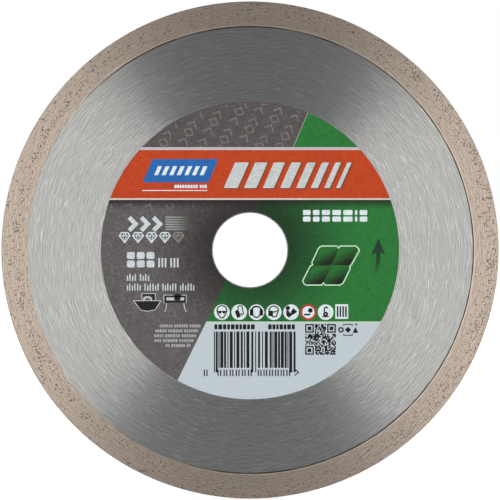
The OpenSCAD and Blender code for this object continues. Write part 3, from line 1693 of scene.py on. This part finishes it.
    def disc_signs(self) -> list[Outline]:
        """Plain dark figures on the discs, from left to right.

        Returns:
            The shapes.
        """
        y = self.disc_row[1]
        xs = [self.disc_place(i)[0] for i in range(7)]
        sides = (-1, 1)
        half = [(0.5, -2.3), (1.5, -0.8), (2.0, 0.5), (1.8, 1.6), (1.1, 2.3), (0.3, 2.6)]
        face = half + [(-dx, dy) for dx, dy in reversed(half)]
        shapes = moved(stroke(face, 0.46, closed=True), xs[0], y)
        shapes += [polygon(xs[0] + 0.8 * side, y, 0.62, 12) for side in sides]
        shapes += [slanted(xs[0] - 1.9, y + 0.05, xs[0] + 1.9, y + 0.47)]
        fingers = [(-0.4, 1.0), (-0.5, 2.2), (0.3, 2.6), (1.1, 2.4)]
        glove = fingers + [(1.4, 0.9), (1.7, -0.7), (1.0, -1.0), (0.6, -0.4)]
        cuff = [(-0.8, -2.4), (0.8, -1.6), (-0.4, 1.1), (-1.8, 0.4)]
        shapes += moved([cuff, *stroke(glove[::-1], 0.44)], xs[1], y)
        chin = [(-1.6, -0.8), (-0.5, -2.1), (0.5, -2.1), (1.6, -0.8)]
        shapes += ring(xs[2], y + 0.3, 2.35, 1.7, 24)[:13] + moved(stroke(chin, 0.5), xs[2], y)
        for x in (xs[2] + 1.95 * side for side in sides):
            shapes.append(rounded(x - 0.7, y - 1.4, x + 0.7, y + 1.2, 0.45))
        shapes += ring(xs[3], y + 0.5, 2.2, 1.7, 24)[:13]
        shapes += [rounded(xs[3] - 2.2, y - 1.6, xs[3] - 0.3, y + 0.6, 0.3)]
        shapes += moved(stroke([(-0.6, 0.0), (0.8, 0.2), (2.0, 0.8)], 0.48), xs[3], y)
        shapes += moved(stroke([(-0.8, -1.8), (0.9, -1.9), (1.4, -0.6), (1.9, 0.4)], 0.48), xs[3], y)
        body = [(-1.9, -1.3), (-0.8, -2.2), (-0.1, -1.6), (0.7, -0.9), (-0.5, -0.1), (-1.1, 0.8), (-1.9, 0.7)]
        book = [(0.0, -1.2), (1.2, -0.8), (2.5, 0.2), (1.6, 1.0), (1.0, 1.6), (0.0, 0.4)]
        shapes += moved([polygon(-1.3, 1.7, 0.88, 16), body, book], xs[4], y)
        shapes.append(polygon(xs[5] + 0.8, y + 0.7, 0.95, 12))
        shapes.append(slanted(xs[5] - 1.8, y - 1.3, xs[5] + 0.6, y - 0.6, 0.5))
        shapes.append(slanted(xs[6] - 1.4, y - 2.0, xs[6] + 1.4, y - 1.6))
        shapes += ring(xs[6], y - 0.8, 1.05, 0.25, 16)
        shapes += moved(stroke([(-0.6, 0.2), (-0.4, 1.7), (0.2, 2.1), (1.0, 1.6)], 0.55), xs[6], y)
        shapes += [slanted(34.9 + 1.12 * i, -26.9, 35.55 + 1.12 * i, -22.6) for i in range(4)]
        return shapes

    def bar_code(self) -> list[Outline]:
        """Bars of uneven width that carry no number, with plain blocks over and under them.

        Returns:
            The shapes.
        """
        shapes = []
        left, end, number = -14.5, 17.6, 0
        while left < end:
            width = 0.42 + 0.40 * int(3 * math.modf(number * GOLDEN_SHARE)[0])
            gap = 0.30 + 0.22 * int(3 * math.modf((number + 3) * GOLDEN_SHARE * 1.7)[0])
            guard = number in (0, 1, 12, 13, 24, 25)
            shapes.append(slanted(left, -49.2 if guard else -47.4, left + width, -32.8))
            left += width + gap
            number += 1
        pairs = [-18.6] + [-13.1 + 2.45 * i for i in range(6)] + [3.1 + 2.3 * i for i in range(6)]
        for left in pairs:
            shapes.append(slanted(left, -50.7, left + 0.5, -48.1))
            shapes.append(slanted(left + 1.05, -50.7, left + 1.55, -48.1))
        shapes += stroke([(17.9, -47.9), (19.5, -49.2), (17.9, -50.5)], 0.45)
        shapes += self.words(-14.3, 1.9, -31.9, -29.9, 99, 7) + self.words(7.3, 18.0, -31.9, -29.9, 99, 3)
        return shapes

    def square_code(self) -> list[Outline]:
        """A square of random cells with three framed corners, which carries no message.

        Returns:
            The shapes.
        """
        left, top, cell, cells, framed_cells, spread = 22.2, -29.8, 0.4915, 25, 7, 0.03
        rng = random.Random(7)
        shapes = []
        far = cells - framed_cells
        corners = ((0, 0), (far, 0), (0, far))
        for column, row in corners:
            x, y = left + column * cell, top - (row + framed_cells) * cell
            near, wide = cell / 2, framed_cells * cell - cell / 2
            path = [(x + near, y + near), (x + wide, y + near), (x + wide, y + wide), (x + near, y + wide)]
            shapes += stroke(path, 1.15 * cell, closed=True)
            shapes.append(slanted(x + 2 * cell, y + 2 * cell, x + 5 * cell, y + 5 * cell))
        for row in range(cells):
            filled = False
            for column in range(cells):
                framed = any(
                    -1 <= column - c <= framed_cells and -1 <= row - r <= framed_cells for c, r in corners
                )
                filled = not framed and rng.random() < (0.42 if filled else 0.70)
                if filled:
                    x, y = left + column * cell, top - (row + 1) * cell
                    shapes.append(slanted(x - spread, y - spread, x + cell + spread, y + cell + spread))
        return shapes

    def panel_signs(self) -> list[Outline]:
        """Small plain signs beside the square code.

        Returns:
            The shapes.
        """
        shapes = ring(36.6, -32.1, 1.15, 0.55, 24)
        shapes += stroke([(37.7, -30.6), (37.7, -29.9), (41.1, -29.9), (41.1, -30.6)], 0.35)
        shapes += stroke([(37.7, -33.6), (37.7, -34.3), (41.1, -34.3), (41.1, -33.6)], 0.35)
        shapes.append(polygon(39.4, -32.1, 1.25, 4))
        shapes += [[(41.3, -33.3), (43.5, -33.3), (42.4, -30.9)], polygon(42.7, -29.9, 0.42, 12)]
        return shapes

    def machines(self) -> None:
        """Two pictures of the machines that take the blade: a tray saw and a bench saw."""
        tray = [(-46.9, -20.4), (-43.9, -24.2), (-41.2, -24.6), (-38.2, -24.1), (-35.8, -20.4)]
        dark = [tray, slanted(-43.1, -18.6, -38.5, -17.8), slanted(-39.2, -20.4, -38.4, -18.5)]
        dark += [polygon(-29.2, -18.9, 1.4, 24), slanted(-34.3, -21.2, -25.9, -20.35)]
        dark += [slanted(-34.3, -20.35, -33.7, -18.5), slanted(-26.4, -20.35, -25.9, -18.5)]
        dark.append(slanted(-33.7, -19.0, -26.4, -18.5))
        pale = stroke(tray, 0.28, closed=True)
        pale += stroke([(-43.6, -19.9), (-43.4, -17.5), (-38.0, -17.5), (-37.9, -20.2)][::-1], 0.26)
        pale += ring(-41.2, -20.4, 1.9, 1.2, 24)[:12]
        pale += [slanted(-33.6, -20.25, -30.5, -19.1), slanted(-27.9, -20.25, -26.5, -19.1)]
        pale += stroke([(-34.6, -21.4), (-34.7, -18.1), (-31.0, -18.1)], 0.24)
        pale += stroke([(-27.5, -18.1), (-25.6, -18.1), (-25.6, -21.4)], 0.24)
        pale += stroke([(-33.6, -21.4), (-33.7, -23.2), (-34.3, -24.9)], 0.34)
        pale += stroke([(-26.6, -21.4), (-26.4, -23.0), (-25.7, -24.9)], 0.34)
        black = Ink("ink_black", tone(22, 23, 20)).make()
        self.press.print("print_machines_dark", dark, Layer.MARK, black)
        light = Ink("ink_pale_line", tone(190, 194, 190)).make()
        self.press.print("print_machines_pale", pale, Layer.DETAIL, light)

    def fading_marks(self) -> None:
        """The speed lines, the dim last gem, and the arrow that shows which way the blade turns."""
        lines = [slanted(-34.0, 8.0 + 0.98 * i, -23.3, 8.62 + 0.98 * i) for i in range(6)]
        pale, grey = tone(148, 150, 146), tone(72, 68, 67)
        speed = FadingInk("ink_speed_lines", pale, grey, (1.0, 0.0), -33 * MM, -23.0 * MM)
        self.press.print("print_speed_lines", lines, Layer.MARK, speed.make())
        dim = Ink("ink_dim", tone(134, 132, 128)).make()
        self.press.print("print_dim_gem", self.gem(self.gem_count - 1), Layer.MARK, dim)
        head = [[(51.7, 4.8), (48.8, -1.9), (50.9, -1.0), (51.7, -0.9)]]
        head += [[(51.7, 4.8), (51.7, -0.9), (52.5, -1.0), (54.4, -2.0)]]
        tail = [(51.6, -0.9), (51.5, -4.2), (51.1, -7.4), (50.6, -10.2), (50.2, -13.4)]
        widths = (1.7, 1.6, 1.35, 1.05, 0.6)
        lefts = [(x - width / 2, y) for (x, y), width in zip(tail, widths, strict=True)]
        rights = [(x + width / 2, y) for (x, y), width in zip(tail, widths, strict=True)]
        shaft = [[lefts[i], lefts[i + 1], rights[i + 1], rights[i]] for i in range(len(tail) - 1)]
        arrow = FadingInk("ink_arrow", tone(22, 54, 34), tone(40, 115, 54), (0.0, -1.0), 2 * MM, 14 * MM)
        self.press.print("print_arrow", head + shaft, Layer.MARK, arrow.make())

    def build(self) -> None:
        """Prints all marks, one ink at a time."""
        self.ghost_pattern()
        self.band_marks()
        self.machines()
        self.fading_marks()
        self.tile_icon()
        white = Ink("ink_white", tone(212, 222, 224), mottle=0.1).make()
        soft = Ink("ink_soft_white", tone(197, 204, 206), mottle=0.1).make()
        self.press.print("print_chevrons", self.grade_marks() + self.size_marks(), Layer.MARK, soft)
        self.press.print("print_white", self.heading() + self.discs() + self.gems(), Layer.MARK, white)
        small = Ink("ink_small_lines", tone(160, 160, 158), mottle=0.1).make()
        self.press.print("print_small_lines", self.small_lines(), Layer.MARK, small)
        outline = Ink("ink_outline", tone(190, 222, 190)).make()
        self.press.print("print_tile_outline", self.tile_outline(), Layer.DETAIL, outline)
        black = Ink("ink_code", tone(17, 18, 20), mottle=0.1).make()
        codes = self.bar_code() + self.square_code() + self.panel_signs()
        self.press.print("print_codes", codes, Layer.MARK, black)
        self.press.print("print_disc_signs", self.disc_signs(), Layer.DETAIL, black)
        red = Ink("ink_red", tone(178, 36, 40)).make()
        centre = self.disc_place(self.red_disc)
        self.press.print("print_red_ring", ring(*centre, 3.2, 2.45), Layer.MARK, red)
        self.press.print("print_red_field", [polygon(*centre, 2.45)], Layer.MARK, white)


@dataclass
class Label:
    """The stuck-on label: adhesive, paper and print."""

    def build(self) -> None:
        """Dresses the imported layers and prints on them."""
        dress("label_adhesive", Glue().make())
        dress("label_paper", Paper().make())
        press = Press()
        LabelGrounds(press).build()
        LabelMarks(press).build()


# ---------------------------------------------------------------- studio


@dataclass(frozen=True)
class StudioLight:
    """Soft light from two broad panels, left and right of the blade, in front of it and behind it.

    Attributes:
        side: Brightness of the panels.
        above: Brightness of the room above, in front of the blade and behind it.
        overhead: Brightness of the room straight above, which lights the edge of the rim.
        below: Brightness of the room below.
        half_angle: Half of the angle that each panel spans, as seen along the bore's axis.
        softness: Angle over which a panel's border fades.
        tilt: How far the panels are turned round the bore's axis.
        gap: Share of the light that is left straight in front and straight behind.
        gap_turn: How squarely a direction faces front or back, from full light to that share.
        outer: Share of the light that is left far out to the sides.
        outer_turn: How squarely a direction faces front or back, from that share to full light.
        overhead_turn: The same, from the brightness overhead to the brightness above.
        room_tint: Colour of the room's light.
        panel_tint: Colour of the panels' light.
    """

    side: float = 3.2
    above: float = 0.07
    overhead: float = 0.50
    below: float = 1.24
    half_angle: float = math.radians(50.5)
    softness: float = math.radians(2)
    tilt: float = math.radians(-1.75)
    gap: float = 0.10
    gap_turn: tuple[float, float] = (0.90, 0.98)
    outer: float = 0.26
    outer_turn: tuple[float, float] = (0.60, 0.82)
    overhead_turn: tuple[float, float] = (0.50, 0.80)
    room_tint: Colour = (0.96, 0.995, 1.03, 1.0)
    panel_tint: Colour = (1.0, 1.0, 1.0, 1.0)

    def build(self) -> None:
        """Makes the world."""
        world = bpy.data.worlds.new("studio")
        world.use_nodes = True
        nodes = Nodes(world.node_tree)
        x, y, z = nodes.parts(nodes.add("ShaderNodeTexCoord").outputs["Generated"])
        c, s = math.cos(self.tilt), math.sin(self.tilt)
        across = nodes.along(x, z, (c, s))
        up = nodes.along(x, z, (-s, c))
        squares = nodes.sum("ADD", nodes.sum("MULTIPLY", across, across), nodes.sum("MULTIPLY", up, up))
        reach = nodes.sum("SQRT", nodes.sum("ADD", squares, 1e-9))
        share = nodes.sum("DIVIDE", nodes.sum("ABSOLUTE", across), reach)
        low = math.cos(self.half_angle + self.softness)
        high = math.cos(self.half_angle - self.softness)
        panel = nodes.step(share, low, high)
        facing = nodes.sum("ABSOLUTE", y)
        outer = nodes.step(facing, *self.outer_turn, self.outer, 1.0)
        above = nodes.step(facing, *self.overhead_turn, self.overhead, self.above)
        rising = nodes.step(up, -0.15, 0.15)
        falling = nodes.sum("SUBTRACT", 1.0, rising)
        below = nodes.sum("MULTIPLY", nodes.sum("MULTIPLY", outer, self.below), falling)
        room = nodes.sum("ADD", below, nodes.sum("MULTIPLY", rising, above))
        brighter = nodes.sum("SUBTRACT", nodes.sum("MULTIPLY", outer, self.side), room)
        light = nodes.sum("ADD", nodes.sum("MULTIPLY", panel, brighter), room)
        light = nodes.sum("MULTIPLY", light, nodes.step(facing, *self.gap_turn, 1.0, self.gap))
        seen = nodes.add("ShaderNodeLightPath").outputs["Is Camera Ray"]
        strength = nodes.sum("ADD", nodes.sum("MULTIPLY", light, nodes.sum("SUBTRACT", 1.0, seen)), seen)
        background = nodes.add("ShaderNodeBackground")
        tint = nodes.mix(nodes.sum("MAXIMUM", panel, seen), self.room_tint, self.panel_tint)
        nodes.feed(background.inputs["Color"], tint)
        nodes.feed(background.inputs["Strength"], strength)
        output = nodes.add("ShaderNodeOutputWorld")
        nodes.tree.links.new(background.outputs[0], output.inputs[0])
        bpy.context.scene.world = world


@dataclass
class Studio:
    """The floor, the light and the camera.

    Attributes:
        floor_side: Side of the square floor.
        floor_glow: How much light of its own the floor gives.
        lens: Focal length, in millimetres.
        sensor: Width of the camera's sensor, in millimetres.
        margin: Half width of the view where the blade stands, as a share of the blade's radius.
        light: The light.
    """

    floor_side: float = 12.0
    floor_glow: float = 0.52
    lens: float = 200.0
    sensor: float = 36.0
    margin: float = 1.005
    light: StudioLight = field(default_factory=StudioLight)

    def floor(self) -> None:
        """Lays a pale floor under the blade."""
        half, low = self.floor_side / 2, CAD_BOX[0][2]
        mesh = bpy.data.meshes.new("floor")
        corners = [(-half, -half, low), (half, -half, low), (half, half, low), (-half, half, low)]
        mesh.from_pydata(corners, [], [(0, 1, 2, 3)])
        finish = Finish("floor_white")
        speck = finish.grain(finish.place(), 40.0, 2.0)
        shade = finish.mix(speck, (0.90, 0.90, 0.90, 1.0), (0.94, 0.94, 0.94, 1.0))
        finish.put(Base_Color=shade, Roughness=0.9)
        finish.put(Emission_Color=(1.0, 1.0, 1.0, 1.0), Emission_Strength=self.floor_glow)
        mesh.materials.append(finish.material)
        floor = bpy.data.objects.new("floor", mesh)
        bpy.context.scene.collection.objects.link(floor)
        floor.visible_glossy = False
        floor.visible_diffuse = False

    def camera(self) -> None:
        """Sets the camera square on to the labelled face."""
        data = bpy.data.cameras.new("camera")
        data.lens = self.lens
        data.sensor_width = self.sensor
        data.clip_start = 0.01
        camera = bpy.data.objects.new("camera", data)
        front = CAD_BOX[0][1]
        spread = self.sensor / 2 / self.lens
        distance = CAD_BOX[1][0] * self.margin / spread
        camera.location = (0.0, front - distance, 0.0)
        camera.rotation_euler = (math.pi / 2, 0.0, 0.0)
        bpy.context.scene.collection.objects.link(camera)
        bpy.context.scene.camera = camera

    def build(self) -> None:
        """Sets up the studio."""
        self.camera()
        self.floor()
        self.light.build()
        bpy.context.scene.view_settings.view_transform = "Standard"


def main() -> None:
    """Builds the studio, then the blade from the core outwards."""
    logging.basicConfig(level=logging.INFO, format="%(name)s: %(message)s")
    steps: tuple[tuple[str, Callable[[], None]], ...] = (
        ("studio", Studio().build),
        ("steel core", SteelCore().build),
        ("rim", Rim().build),
        ("crystals", Crystals().build),
        ("label", Label().build),
    )
    for name, build in steps:
        LOG.info("building the %s", name)
        build()
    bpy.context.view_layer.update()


if __name__ == "__main__":
    main()
